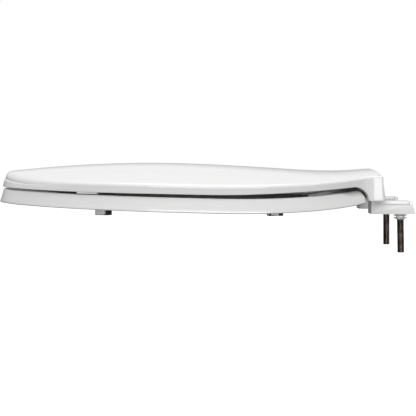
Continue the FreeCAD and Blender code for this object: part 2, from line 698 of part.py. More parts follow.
def mounting_bolt(name, side):
    bolt = new_body(f"mounting_bolt_{name}", x=side_x(side))
    head_top = f"{HEAD_FOOT} + Size.head_height"
    chamfer = "Size.bolt_radius / 4"
    thread_top = "-Size.bushing_length - 2 * Size.rest_gap"
    profile = outline(bolt, f"bolt_profile_{name}", "XZ_Plane", (
        ("0", "-Size.bolt_length"),
        (f"Size.bolt_radius - {chamfer}", "-Size.bolt_length"),
        ("Size.bolt_radius", f"-Size.bolt_length + {chamfer}"),
        ("Size.bolt_radius", thread_top),
        ("Size.bolt_radius - Size.shank_relief", thread_top),
        ("Size.bolt_radius - Size.shank_relief", HEAD_FOOT),
        ("Size.head_radius", HEAD_FOOT),
        ("Size.head_radius", f"{head_top} - {chamfer}"),
        (f"Size.head_radius - {chamfer}", head_top),
        ("0", head_top),
    ))
    revolve(bolt, profile, "V_Axis", f"bolt_turned_{name}")
    socket = bolt.newObject("PartDesign::SubtractivePrism", f"bolt_socket_{name}")
    socket.Polygon = 6
    bind(socket, Circumradius="Size.socket_radius", Height="Size.head_height",
         z=f"{HEAD_FOOT} + Size.head_height / 3")


def bolt_washer(name, side):
    washer = new_body(f"bolt_washer_{name}", x=side_x(side))
    inner = "Size.bolt_radius + Size.running_fit"
    foot = "Size.floor_thickness + Size.running_fit / 2"
    profile = outline(washer, f"washer_profile_{name}", "XZ_Plane", (
        (inner, foot),
        ("Size.head_radius", foot),
        ("Size.head_radius", f"{foot} + Size.washer_thickness"),
        (inner, f"{foot} + Size.washer_thickness"),
    ))
    revolve(washer, profile, "V_Axis", f"washer_turned_{name}")


def bolt_bushing(name, side):
    """A sleeve round the bolt with two rings of barbs that spread upwards."""
    bushing = new_body(f"bolt_bushing_{name}", x=side_x(side))
    inner = "Size.bolt_radius + Size.running_fit"
    foot = "-Size.rest_gap - Size.bushing_length"
    corners = [(inner, "-Size.rest_gap")]
    corners.append((inner, foot))
    corners.append(("Size.bushing_core", foot))
    for ring in (0, 1):
        start = f"{foot} + {ring} * Size.bushing_length / 2 + Size.barb_height / 4"
        corners.append(("Size.bushing_core", start))
        corners.append(("Size.barb_radius", f"{start} + Size.barb_height * 3 / 4"))
        corners.append(("Size.barb_radius", f"{start} + Size.barb_height"))
        corners.append(("Size.bushing_core", f"{start} + Size.barb_height"))
    corners.append(("Size.bushing_core", "-Size.rest_gap"))
    profile = outline(bushing, f"bushing_profile_{name}", "XZ_Plane", corners)
    revolve(bushing, profile, "V_Axis", f"bushing_turned_{name}")


# ---------------------------------------------------------------- hinge internals
# Each post holds a damper at its -X end and a plain pin at its +X end. So the right-hand damper turns
# with the seat, the left-hand damper with the lid, and the plain pins carry the other two knuckles.
POST_END = "Size.base_width / 2"


def axial_piece(kind, name, side, corners):
    """A body turned about the hinge axis from corners of (distance along X, radius)."""
    body = new_body(f"{kind}_{name}", x=side_x(side), y=AXIS_Y, z=AXIS_Z)
    profile = outline(body, f"{kind}_profile_{name}", "XY_Plane", corners)
    revolve(body, profile, "H_Axis", f"{kind}_turned_{name}")


def damper_body(name, side):
    outer = "Size.post_bore - Size.running_fit"
    cavity = f"{outer} - Size.damper_wall"
    hole = "Size.shaft_radius + Size.running_fit"
    end = f"-{POST_END} + Size.damper_length"
    mouth = f"-{POST_END} + 2 * Size.damper_wall"
    axial_piece("damper_body", name, side, (
        (f"-{POST_END}", hole),
        (f"-{POST_END}", outer),
        (end, outer),
        (end, "0"),
        (f"{end} - Size.damper_wall", "0"),
        (f"{end} - Size.damper_wall", cavity),
        (mouth, cavity),
        (mouth, hole),
    ))


def damper_rotor(name, side):
    hub = "Size.knuckle_bore - Size.running_fit"
    drum = "Size.post_bore - Size.damper_wall - 4 * Size.running_fit"
    hub_end = f"-{POST_END} - Size.side_gap"
    drum_start = f"-{POST_END} + 2 * Size.damper_wall + 2 * Size.running_fit"
    drum_end = f"-{POST_END} + Size.damper_length - Size.damper_wall - 2 * Size.running_fit"
    axial_piece("damper_rotor", name, side, (
        (f"{hub_end} - Size.knuckle_width", "0"),
        (f"{hub_end} - Size.knuckle_width", hub),
        (hub_end, hub),
        (hub_end, "Size.shaft_radius"),
        (drum_start, "Size.shaft_radius"),
        (drum_start, drum),
        (drum_end, drum),
        (drum_end, "0"),
    ))


def pivot_pin(name, side):
    root = "Size.post_bore - Size.running_fit"
    axial_piece("pivot_pin", name, side, (
        (f"{POST_END} - Size.pin_root", "0"),
        (f"{POST_END} - Size.pin_root", root),
        (POST_END, root),
        (POST_END, "Size.pin_radius"),
        (f"{POST_END} + Size.side_gap + Size.knuckle_width", "Size.pin_radius"),
        (f"{POST_END} + Size.side_gap + Size.knuckle_width", "0"),
    ))


def pivot_bush(name, side):
    outer = "Size.knuckle_bore - Size.running_fit"
    inner = "Size.pin_radius + Size.running_fit"
    start = f"{POST_END} + Size.side_gap"
    axial_piece("pivot_bush", name, side, (
        (start, inner),
        (start, outer),
        (f"{start} + Size.knuckle_width", outer),
        (f"{start} + Size.knuckle_width", inner),
    ))


# ---------------------------------------------------------------- bumpers
def placed_body(name, x, y, angle):
    """A body whose local Y lies along the outline at its place."""
    body = doc.addObject("PartDesign::Body", name)
    body.Label = name
    body.Placement = FreeCAD.Placement(V(x, y, 0), FreeCAD.Rotation(V(0, 0, 1), -angle))
    return body


def seat_bumper(place, name, side):
    x, y, angle = seat_bumper_place(place, side)
    top = f"{bumper_top(y)}"
    foot = "Size.bumper_floor + Size.grip_thickness"
    pad_length = "Size.bumper_length - 2 * Size.grip_end"
    bumper = placed_body(f"seat_bumper_{place}_{name}", x, y, angle)
    block(bumper, "Additive", f"pad_{place}_{name}", "Size.bumper_width", pad_length,
          f"{top} - ({foot})", "0", f"-({pad_length}) / 2", foot)
    upright(bumper, "Additive", f"peg_{place}_{name}", "Size.peg_radius", "Size.peg_length", "0", "0",
            f"{top} - Size.bumper_sink / 4")
    grip = placed_body(f"bumper_grip_{place}_{name}", x, y, angle)
    block(grip, "Additive", f"grip_{place}_{name}", "Size.bumper_width", "Size.bumper_length",
          f"{top} - Size.bumper_floor", "0", "-Size.bumper_length / 2", "Size.bumper_floor")
    block(grip, "Subtractive", f"grip_room_{place}_{name}", "Size.bumper_width + 2 * Size.overrun", pad_length,
          f"{top} + Size.bumper_floor", "0", f"-({pad_length}) / 2", foot)


def lid_bumper(name, side):
    x, y, angle = lid_bumper_place(side)
    foot, top = lid_bumper_span(y)
    bumper = placed_body(f"lid_bumper_{name}", x, y, angle)
    block(bumper, "Additive", f"lid_pad_{name}", "Size.lid_bumper_width", "Size.lid_bumper_length",
          f"{top - foot}", "0", "-Size.lid_bumper_length / 2", f"{foot}")


# ---------------------------------------------------------------- build, check and write
def shaped(name, shape):
    feature = doc.addObject("Part::Feature", name)
    feature.Label = name
    feature.Shape = shape
    feature.Placement = FreeCAD.Placement()


def build():
    shaped("seat_ring", seat_ring())
    shaped("lid_shell", lid_shell())
    makers = (hinge_base, bolt_cover, cover_pin, mounting_bolt, bolt_washer, bolt_bushing,
              damper_body, damper_rotor, pivot_pin, pivot_bush, lid_bumper)
    for name, side in SIDES:
        for maker in makers:
            maker(name, side)
        for place in PLACES:
            seat_bumper(place, name, side)
    doc.recompute()


def check_and_write():
    for item in doc.Objects:
        if "Invalid" in item.State or "Error" in item.State:
            raise RuntimeError(f"{item.Name} failed: {item.State}")
    sub_parts = [item for item in doc.Objects if item.TypeId in ("PartDesign::Body", "Part::Feature")]
    for item in sub_parts:
        shape = item.Shape
        if shape.isNull() or not shape.isValid() or len(shape.Solids) != 1:
            raise RuntimeError(f"{item.Label} is not one valid solid")
        print(f"{item.Label}: {shape.Volume:.0f} mm3")
    for item in sub_parts:
        item.Shape.exportStep(f"parts/{item.Label}.step")


build()
check_and_write()
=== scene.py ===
import json
import math

import bmesh
import bpy
from mathutils import Matrix, Vector

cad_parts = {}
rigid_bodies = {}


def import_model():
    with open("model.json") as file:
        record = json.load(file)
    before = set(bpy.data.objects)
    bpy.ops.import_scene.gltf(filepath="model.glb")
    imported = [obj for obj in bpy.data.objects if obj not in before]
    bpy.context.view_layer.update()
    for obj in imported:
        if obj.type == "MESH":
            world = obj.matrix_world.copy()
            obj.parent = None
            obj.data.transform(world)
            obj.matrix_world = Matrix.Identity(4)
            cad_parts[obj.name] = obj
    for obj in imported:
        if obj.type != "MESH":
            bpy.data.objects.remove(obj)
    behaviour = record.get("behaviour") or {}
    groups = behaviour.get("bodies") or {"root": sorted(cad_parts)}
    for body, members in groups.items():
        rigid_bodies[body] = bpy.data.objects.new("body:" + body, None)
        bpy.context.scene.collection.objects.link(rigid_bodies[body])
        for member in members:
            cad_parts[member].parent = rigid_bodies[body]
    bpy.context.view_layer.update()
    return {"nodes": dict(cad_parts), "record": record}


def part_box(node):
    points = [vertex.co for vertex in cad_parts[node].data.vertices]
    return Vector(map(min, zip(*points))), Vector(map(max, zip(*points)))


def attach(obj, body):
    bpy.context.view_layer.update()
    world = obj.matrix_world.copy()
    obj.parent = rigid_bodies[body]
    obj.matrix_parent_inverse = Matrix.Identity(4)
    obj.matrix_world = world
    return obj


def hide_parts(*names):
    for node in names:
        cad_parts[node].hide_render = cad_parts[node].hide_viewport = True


# A slow-close toilet seat with its lid, in metres, in the CAD frame:
# +Z up, the tip of the seat along -Y, and +X its right side.

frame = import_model()
MM = 0.001
SIDES = (("left", -1), ("right", 1))


def box_of(node):
    """The low and the high corner of a CAD node."""
    return tuple(Vector(corner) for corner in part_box(node))


# ---------------------------------------------------------------- places read from the frame
JOINTS = {joint["name"]: joint for joint in frame["record"]["behaviour"]["joints"]}
AXIS = Vector(JOINTS["seat_hinge"]["pos_m"])
BASE_LOW, BASE_HIGH = box_of("hinge_base_right")
BASE_HALF = (BASE_HIGH.x - BASE_LOW.x) / 2
BOLT_LOW, BOLT_HIGH = box_of("mounting_bolt_right")
BOLT_X = (BOLT_LOW.x + BOLT_HIGH.x) / 2

# ---------------------------------------------------------------- shape values
# plan
WIDEST_Y = -205 * MM            # station of the greatest width
FRONT_HALF_AXIS = 255 * MM      # from there to the tip, at the height of the tip's foot
REAR_HALF_AXIS = 212 * MM       # rear half-axis of the egg, which the rear edge cuts off
SEAT_HALF = 177 * MM            # half width at the height of the tip's foot
SEAT_REAR = -41 * MM
SEAT_CORNER = 6 * MM            # rounding of the rear corners
FRONT_STEPS, REAR_STEPS = 96, 54
SEAT_PITCH = 4 * MM             # longest stretch between two points of the seat's outline
LID_PITCH = 3 * MM              # the same for the lid's
# seat
TIP_FOOT = 11.4 * MM            # height where the walls start to lean
SEAT_THICK = 16 * MM
SEAT_FLARE = 5 * MM             # how far the wall leans in over that thickness
SEAT_EDGE = 1.8 * MM            # radius of the outer top edge
REAR_EDGE = 10.5 * MM           # the same at the rear
REAR_EDGE_BLEND = (-75 * MM, -50 * MM)
BORE_EDGE = 5.0 * MM            # radius of the opening's top edge
SEAT_FOOT_ROUND = 1.2 * MM      # radius of the lower edges
SEAT_DISH = 4.5 * MM            # how far the top falls towards the opening
FRONT_RIM, SIDE_RIM, REAR_RIM = 70 * MM, 70 * MM, 61 * MM
RECESS_DEPTH = 3 * MM
RECESS_RIM = 6 * MM             # width of the edge left round the recess
RECESS_END = (-68 * MM, -62 * MM)
RECESS_WALL = ((0.0, 0.0), (0.4 * MM, 0.12), (0.7 * MM, 0.8), (1.1 * MM, 1.0))   # inset, share of the depth
# lid
LID_INSET = 0.2 * MM
LID_LEAN = 4 / 60
LID_WALL = 3.5 * MM
TIP_BLEND = (130 * MM, 255 * MM)    # how far ahead of the widest station the tip's shape sets in
TIP_SETBACK = 2.0 * MM          # how far the lid's tip stands behind the seat's, at the height TIP_RIM
TIP_RIM = 29 * MM
TIP_LEAN = 0.2                  # extra lean of the lid's tip
SHOULDER = 3.4 * MM             # radius of the lid's top edge
TIP_SHOULDER = 7.5 * MM         # the same at the tip
LIP = 0.5 * MM                  # radius of the lid's lower edges
INNER_ROUND = 2.5 * MM          # radius inside the lid's top edge
DOME_CENTRE = Vector((0.0, WIDEST_Y - 20 * MM))
DOME_SHARES = (0.04, 0.12, 0.22, 0.33, 0.45, 0.57, 0.69, 0.79, 0.87, 0.93, 0.97)
# cowl behind the hinges
COWL_HALF = 110 * MM
COWL_BACK = AXIS.y + 8 * MM
COWL_FOOT = AXIS.z - 8.5 * MM
COWL_START = -70 * MM           # where the wall's lean starts to change into the cowl's
COWL_CORNER = 5 * MM
COWL_BLEND = 22 * MM            # rounding where the cowl's sides leave the oval
COWL_BLEND_REACH = 11 * MM      # the stretch of the oval that it takes up
COWL_LEAN = 5 / 34
LEG_FRONT = AXIS.y - 10.5 * MM  # front edge of the cowl's legs
BEND_START = -55 * MM           # where the lid's lower edge starts to bend down
BEND_POWER = 2.2
# knuckles
BARREL = 6.5 * MM               # outer radius
KNUCKLE = 12 * MM               # width
KNUCKLE_BORE = 4.2 * MM
KNUCKLE_ROOT = 9 * MM           # how far the seat's arms reach into it
ARM_DROP = 2.3 * MM             # top of the arms below the seat's top
WEB_DROP = 1.5 * MM             # top of the lid's webs below its outer face
SIDE_GAP = 0.75 * MM            # between a post and the knuckles beside it
# supports of the bumpers, and the seat bumpers' pale pads
ISLAND = (9 * MM, 12 * MM)      # half width and half length under the seat
ISLAND_HEIGHTS = (0.2 * MM, 6 * MM)
BOSS = (3 * MM, 14 * MM)        # the same under the lid
BOSS_OVERLAP = 1.5 * MM         # how far a boss stands over its bumper
BOSS_ROOT = 2.5 * MM            # top of a boss below the lid's outer face
PAD_HALF = 5.15 * MM
PAD_ENDS = (-8.1 * MM, 3.4 * MM)
PAD_FOOT = 0.65 * MM
PAD_ROOT = 2 * MM               # top of a pad below the top of its CAD solid
# bolts and bushings
BOLT_RADIUS = 4.0 * MM
BOLT_HEAD = 4.4 * MM
BOLT_SEGMENTS = 48
THREAD_DEPTH, THREAD_PITCH = 0.3 * MM, 1.25 * MM
SOCKET_RADIUS = SOCKET_DEPTH = 2.9 * MM
BOLT_LEAN = {"left": 0.3, "right": 1.2}     # the play of each bolt in its bushing, in degrees
BUSHING_CORE, BUSHING_BORE = 4.9 * MM, 4.1 * MM
BARBS, BARB_SPREAD, BARB_SLICES = 12, math.radians(21), 5
# floor, light and camera
FLOOR_Z = -0.28
FLOOR_HALF = 9
FLOOR_GLOW = 0.6
DOME = ((0.0, 0.0), (0.36, 0.01), (0.43, 0.2), (0.46, 0.4), (0.495, 0.4), (0.502, 0.25), (0.53, 0.4),
        (0.6, 0.85), (1.0, 0.45))           # (height from -1 to 1 as a share, grey level) of the light
OVERHEAD_POWER = 9.0
SIDE_POWER = 22.0
KICKER_POWER = 16.0
KICKER_LIGHTS = ("base_", "cover_", "bolt_", "washer_", "bushing_", "pad_", "grip_")   # pieces that it reaches
LENS = 137.7
EYE = (1.865, -0.217, 0.083)
EYE_PITCH = 2.45                # degrees below the horizontal


def smooth_curve(stations, values):
    """A smooth function through points, with the slopes of a Catmull-Rom spline."""
    slopes = []
    last = len(stations) - 1
    for index in range(len(stations)):
        low, high = max(index - 1, 0), min(index + 1, last)
        slopes.append((values[high] - values[low]) / (stations[high] - stations[low]))

    def height(y):
        if y <= stations[0]:
            return values[0] + slopes[0] * (y - stations[0])
        if y >= stations[-1]:
            return values[-1] + slopes[-1] * (y - stations[-1])
        index = max(i for i in range(last) if stations[i] <= y)
        span = stations[index + 1] - stations[index]
        t = (y - stations[index]) / span
        a = (2 * t ** 3 - 3 * t ** 2 + 1) * values[index]
        b = (t ** 3 - 2 * t ** 2 + t) * span * slopes[index]
        c = (3 * t ** 2 - 2 * t ** 3) * values[index + 1]
        d = (t ** 3 - t ** 2) * span * slopes[index + 1]
        return a + b + c + d

    return height


def in_metres(*values):
    return [value * MM for value in values]


# Side curves of the seat and the lid, from the tip to the hinges.
seat_foot = smooth_curve(in_metres(-460, -359, -250, -166, -103, -62, -41),
                         in_metres(11.4, 8.2, 5.5, 4.2, 6.2, 10.0, 13.6))
rim_gap = smooth_curve(in_metres(-460, -359, -268, -205, -130, -85, -60, -41),
                       in_metres(1.8, 2.5, 3.4, 3.8, 5.3, 5.3, 4.4, 3.0))
crown_top = smooth_curve(in_metres(-470, -440, -400, -350, -285, -220, -150, -108, -75, -48, -30, -10),
                         in_metres(44.6, 47.6, 51.4, 54.6, 56.2, 54.6, 50.8, 48.0, 46.9, 47.8, 49.2, 49.6))
crown_radius = (330, 400, 500, 590, 690, 770, 890, 1040, 1200, 1000, 1000)
crown_bend = smooth_curve(in_metres(-480, -440, -395, -350, -285, -225, -160, -108, -75, -39, -10),
                          [1 / radius for radius in crown_radius])


def lid_top(x, y):
    """Height of the lid's crowned top."""
    return crown_top(y) - x * x / MM * crown_bend(y) / 2


def blend_weight(value, start, end):
    """0 before start, 1 after end and smooth between."""
    share = min(1.0, max(0.0, (value - start) / (end - start)))
    return share * share * (3 - 2 * share)


def rounding(radius, steps):
    """(inset, drop) pairs round a quarter circle, from its flat end to its upright end."""
    pairs = []
    for step in range(steps + 1):
        angle = math.radians(90 * step / steps)
        pairs.append((radius * (1 - math.sin(angle)), radius * (1 - math.cos(angle))))
    return pairs


# ---------------------------------------------------------------- outlines, as lists of plan points
def ellipse(half, reach, start, end, count):
    """Points of an elliptic arc about the widest station, from start to end degrees."""
    points = []
    for index in range(count + 1):
        angle = math.radians(start + (end - start) * index / count)
        points.append(Vector((half * math.cos(angle), WIDEST_Y + reach * math.sin(angle))))
    return points


def half_oval(inset, rise):
    """The egg's +X half, from its tip to a point this far behind the widest station."""
    rear = REAR_HALF_AXIS - inset
    turn = math.degrees(math.asin(rise / rear))
    front_arc = ellipse(SEAT_HALF - inset, FRONT_HALF_AXIS - inset, -90, 0, FRONT_STEPS)
    return front_arc + ellipse(SEAT_HALF - inset, rear, 0, turn, REAR_STEPS)[1:]


def rounded(points, radius, steps):
    """The middle corners of an open line as arcs."""
    result = []
    for before, corner, after in zip(points, points[1:], points[2:]):
        first, second = (before - corner).normalized(), (after - corner).normalized()
        half_angle = first.angle(second) / 2
        reach = radius / math.tan(half_angle)
        middle = corner + (first + second).normalized() * radius / math.sin(half_angle)
        start, end = corner + first * reach - middle, corner + second * reach - middle
        sweep = start.angle_signed(end)
        for step in range(steps + 1):
            turn = -sweep * step / steps
            cos, sin = math.cos(turn), math.sin(turn)
            result.append(middle + Vector((start.x * cos - start.y * sin, start.x * sin + start.y * cos)))
    return result


def filled(points, longest):
    """The same line with extra points, so that no stretch is longer than this."""
    result = [points[0]]
    for first, second in zip(points, points[1:]):
        steps = max(1, math.ceil((second - first).length / longest))
        for step in range(1, steps + 1):
            result.append(first.lerp(second, step / steps))
    return result


def mirrored(half_outline):
    """A closed outline from its +X half, which runs from the tip to the rear."""
    other = [Vector((-point.x, point.y)) for point in reversed(half_outline)]
    return half_outline + [point for point in other if abs(point.x) > 1e-6]


def seat_outline():
    arc = half_oval(0.0, SEAT_REAR - WIDEST_Y)
    corner, back = arc[-1], Vector((0.0, SEAT_REAR))
    arc = [point for point in arc if (point - corner).length > SEAT_CORNER]
    half = arc + rounded([arc[-1], corner, back], SEAT_CORNER, 8) + [back]
    return mirrored(filled(half, SEAT_PITCH))


def lid_outline():
    rise = (REAR_HALF_AXIS - LID_INSET) * math.sqrt(1 - (COWL_HALF / (SEAT_HALF - LID_INSET)) ** 2)
    meet = Vector((COWL_HALF, WIDEST_Y + rise))
    arc = [point for point in half_oval(LID_INSET, rise) if (point - meet).length > COWL_BLEND_REACH]
    corner, back = Vector((COWL_HALF, COWL_BACK)), Vector((0.0, COWL_BACK))
    half = arc + rounded([arc[-1], meet, corner], COWL_BLEND, 10)
    half += rounded([meet, corner, back], COWL_CORNER, 8) + [back]
    return mirrored(filled(half, LID_PITCH))


def normals_of(points):
    """Outward plan normals of a closed outline that runs anticlockwise."""
    count = len(points)
    result = []
    for index in range(count):
        along = points[(index + 1) % count] - points[index - 1]
        result.append(Vector((along.y, -along.x)).normalized())
    return result


def outline_turn(y):
    """How far the outline's tangent turns from the Y axis at a station ahead of the widest, in radians."""
    rise = (WIDEST_Y - y) / FRONT_HALF_AXIS
    return math.atan2(SEAT_HALF * rise, FRONT_HALF_AXIS * math.sqrt(1 - rise * rise))


# ---------------------------------------------------------------- mesh helpers
def linked(name, mesh):
    """A new object in the scene for this mesh."""
    obj = bpy.data.objects.new(name, mesh)
    bpy.context.collection.objects.link(obj)
    return obj


def new_object(name, verts, faces):
    """A smooth-shaded object with consistent normals."""
    mesh = bpy.data.meshes.new(name)
    mesh.from_pydata([tuple(vert) for vert in verts], [], faces)
    mesh.validate()
    mesh.update()
    mesh.shade_smooth()
    work = bmesh.new()
    work.from_mesh(mesh)
    bmesh.ops.recalc_face_normals(work, faces=work.faces)
    work.to_mesh(mesh)
    work.free()
    return linked(name, mesh)


def grid_faces(rows, columns, closed_rows=False):
    """Quads between rows of vertices; every row is a closed loop."""
    faces = []
    last = rows if closed_rows else rows - 1
    for row in range(last):
        low, high = row * columns, ((row + 1) % rows) * columns
        for column in range(columns):
            after = (column + 1) % columns
            faces.append((low + column, low + after, high + after, high + column))
    return faces


def capped_grid(rows, columns):
    """The same with a face over each end."""
    ends = [tuple(range(columns)), tuple(reversed(range((rows - 1) * columns, rows * columns)))]
    return grid_faces(rows, columns) + ends


def around(centre, radius, angle, z):
    """A point at an angle about an upright axis."""
    return centre + Vector((radius * math.cos(angle), radius * math.sin(angle), z))


def apply_modifiers(obj):
    """Bake the modifiers into the mesh."""
    depsgraph = bpy.context.evaluated_depsgraph_get()
    mesh = bpy.data.meshes.new_from_object(obj.evaluated_get(depsgraph))
    obj.modifiers.clear()
    old = obj.data
    obj.data = mesh
    bpy.data.meshes.remove(old)


def combine(obj, other, operation):
    """Boolean of two meshes; the other one is used up."""
    made = obj.modifiers.new("combine", "BOOLEAN")
    made.operation = operation
    made.solver = "EXACT"
    made.object = other
    apply_modifiers(obj)
    bpy.data.objects.remove(other)


def join(first, *others):
    """Put the other meshes into the first object."""
    work = bmesh.new()
    work.from_mesh(first.data)
    for other in others:
        work.from_mesh(other.data)
        bpy.data.objects.remove(other)
    work.to_mesh(first.data)
    work.free()


def sharpen(obj, degrees):
    """Keep creases sharper than this angle."""
    work = bmesh.new()
    work.from_mesh(obj.data)
    limit = math.radians(degrees)
    for edge in work.edges:
        edge.smooth = len(edge.link_faces) != 2 or edge.calc_face_angle() < limit
    for face in work.faces:
        face.smooth = True
    work.to_mesh(obj.data)
    work.free()


def soften_edges(obj, width):
    """Round the edges that are sharper than 30 degrees."""
    bevel = obj.modifiers.new("edges", "BEVEL")
    bevel.width = width
    bevel.segments = 3
    bevel.limit_method = "ANGLE"
    bevel.angle_limit = math.radians(30)
    apply_modifiers(obj)
    sharpen(obj, 50)


def softened(node, name, width):
    """A copy of a CAD node's mesh, cleaned to its flat faces and given rounded edges."""
    source = frame["nodes"][node]
    work = bmesh.new()
    work.from_mesh(source.data)
    work.transform(source.matrix_world)
    bmesh.ops.remove_doubles(work, verts=work.verts, dist=0.002 * MM)
    bmesh.ops.dissolve_limit(work, angle_limit=math.radians(1.0), verts=work.verts, edges=work.edges)
    mesh = bpy.data.meshes.new(name)
    work.to_mesh(mesh)
    work.free()
    mesh.materials.clear()
    obj = linked(name, mesh)
    soften_edges(obj, width)
    return obj


def bevelled_box(name, low, high, width):
    """A box between two corners with rounded edges."""
    low, high = Vector(low), Vector(high)
    work = bmesh.new()
    bmesh.ops.create_cube(work, size=1.0)
    bmesh.ops.scale(work, vec=high - low, verts=work.verts)
    bmesh.ops.translate(work, vec=(high + low) / 2, verts=work.verts)
    bmesh.ops.bevel(work, geom=work.edges[:], offset=width, segments=3, affect="EDGES", profile=0.5)
    mesh = bpy.data.meshes.new(name)
    work.to_mesh(mesh)
    work.free()
    mesh.shade_smooth()
    return linked(name, mesh)


def turned_block(name, node, half_width, ends, heights):
    """A rounded block at a bumper's place, lying along the outline between two ends and two heights."""
    box_low, box_high = box_of(node)
    middle = (box_low + box_high) / 2
    block = bevelled_box(name, (-half_width, ends[0], heights[0]), (half_width, ends[1], heights[1]), 0.8 * MM)
    turn = outline_turn(middle.y) if middle.y < WIDEST_Y else -outline_turn(2 * WIDEST_Y - middle.y)
    turn *= -1 if middle.x > 0 else 1
    block.data.transform(Matrix.Translation((middle.x, middle.y, 0)) @ Matrix.Rotation(turn, 4, "Z"))
    return block


def rod(name, radius, width, middle, chamfer):
    """A closed rod along X, with its ends chamfered unless the chamfer is 0."""
    segments = 64
    stations = [(radius - chamfer, -width / 2), (radius - chamfer, width / 2)]
    if chamfer:
        stations[1:1] = [(radius, -width / 2 + chamfer), (radius, width / 2 - chamfer)]
    verts = []
    for ring_radius, along in stations:
        for step in range(segments):
            angle = 2 * math.pi * step / segments
            verts.append(middle + Vector((along, ring_radius * math.cos(angle), ring_radius * math.sin(angle))))
    return new_object(name, verts, capped_grid(len(stations), segments))


def knuckle(name, x, low, high):
    """A bored barrel on the hinge axis, joined to a rounded block between two (y, z) corners."""
    middle = Vector((x, AXIS.y, AXIS.z))
    barrel = rod(name, BARREL, KNUCKLE, middle, 0.6 * MM)
    block = bevelled_box("block", (x - KNUCKLE / 2, *low), (x + KNUCKLE / 2, *high), 0.7 * MM)
    combine(barrel, block, "UNION")
    combine(barrel, rod("bore", KNUCKLE_BORE, KNUCKLE + 4 * MM, middle, 0.0), "DIFFERENCE")
    soften_edges(barrel, 0.35 * MM)
    return barrel


def finish(obj, body, look, slot, *nodes):
    """Give a piece its material and its body, and hide the CAD nodes that it stands for."""
    obj.data.materials.clear()
    obj.data.materials.append(look)
    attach(obj, body)
    if nodes:
        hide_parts(*nodes)
    return obj


# ---------------------------------------------------------------- materials
def material(name):
    made = bpy.data.materials.new(name)
    made.use_nodes = True
    nodes, links = made.node_tree.nodes, made.node_tree.links
    return made, nodes, links, nodes["Principled BSDF"], nodes.new("ShaderNodeTexCoord")


def noise(nodes, links, coords, scale, detail, stretch=(1, 1, 1)):
    """Noise in the object's own coordinates."""
    mapping = nodes.new("ShaderNodeMapping")
    mapping.inputs["Scale"].default_value = stretch
    texture = nodes.new("ShaderNodeTexNoise")
    texture.inputs["Scale"].default_value = scale
    texture.inputs["Detail"].default_value = detail
    links.new(coords.outputs["Object"], mapping.inputs["Vector"])
    links.new(mapping.outputs["Vector"], texture.inputs["Vector"])
    return texture.outputs["Fac"]


def ramp(nodes, links, factor, low, high, start=0.35, end=0.65):
    """A colour ramp between two colours or two grey levels."""
    made = nodes.new("ShaderNodeValToRGB")
    made.color_ramp.elements[0].position = start
    made.color_ramp.elements[1].position = end
    for element, value in zip(made.color_ramp.elements, (low, high)):
        element.color = (*value, 1) if isinstance(value, tuple) else (value, value, value, 1)
    links.new(factor, made.inputs["Fac"])
    return made.outputs["Color"]


def bump(nodes, links, shader, height, strength, distance):
    made = nodes.new("ShaderNodeBump")
    made.inputs["Strength"].default_value = strength
    made.inputs["Distance"].default_value = distance
    links.new(height, made.inputs["Height"])
    links.new(made.outputs["Normal"], shader.inputs["Normal"])


def plastic(name, base, spread, rough, rough_spread, grain=900.0, grain_depth=0.002 * MM, coat=0.0):
    """Moulded plastic: a faint drift of tone, uneven polish and a fine moulded grain."""
    made, nodes, links, shader, coords = material(name)
    drift = noise(nodes, links, coords, 9.0, 4.0)
    low = tuple(channel - spread for channel in base)
    links.new(ramp(nodes, links, drift, low, base), shader.inputs["Base Color"])
    polish = noise(nodes, links, coords, 60.0, 6.0)
    links.new(ramp(nodes, links, polish, rough, rough + rough_spread), shader.inputs["Roughness"])
    bump(nodes, links, shader, noise(nodes, links, coords, grain, 2.0), 0.5, grain_depth)
    shader.inputs["IOR"].default_value = 1.5
    shader.inputs["Coat Weight"].default_value = coat
    shader.inputs["Coat Roughness"].default_value = 0.04
    return made


def rubber(name, base, spread):
    """Soft moulded rubber: matt, slightly dusty, with a fine texture."""
    made, nodes, links, shader, coords = material(name)
    dust = noise(nodes, links, coords, 240.0, 5.0)
    light = tuple(channel + spread for channel in base)
    links.new(ramp(nodes, links, dust, base, light, 0.4, 0.75), shader.inputs["Base Color"])
    shader.inputs["Roughness"].default_value = 0.62
    bump(nodes, links, shader, noise(nodes, links, coords, 2600.0, 3.0), 0.6, 0.02 * MM)
    return made


def steel(name, base, light, rough, stretch):
    """Metal with drawn streaks and a patchy oxide film."""
    made, nodes, links, shader, coords = material(name)
    streaks = noise(nodes, links, coords, 900.0, 3.0, stretch)
    film = noise(nodes, links, coords, 140.0, 6.0)
    both = nodes.new("ShaderNodeMath")
    both.operation = "MULTIPLY_ADD"
    both.inputs[1].default_value = 0.5
    links.new(film, both.inputs[0])
    links.new(streaks, both.inputs[2])
    links.new(ramp(nodes, links, both.outputs[0], base, light, 0.6, 0.9), shader.inputs["Base Color"])
    links.new(ramp(nodes, links, film, rough, rough + 0.18), shader.inputs["Roughness"])
    bump(nodes, links, shader, streaks, 0.25, 0.01 * MM)
    shader.inputs["Metallic"].default_value = 1.0
    return made


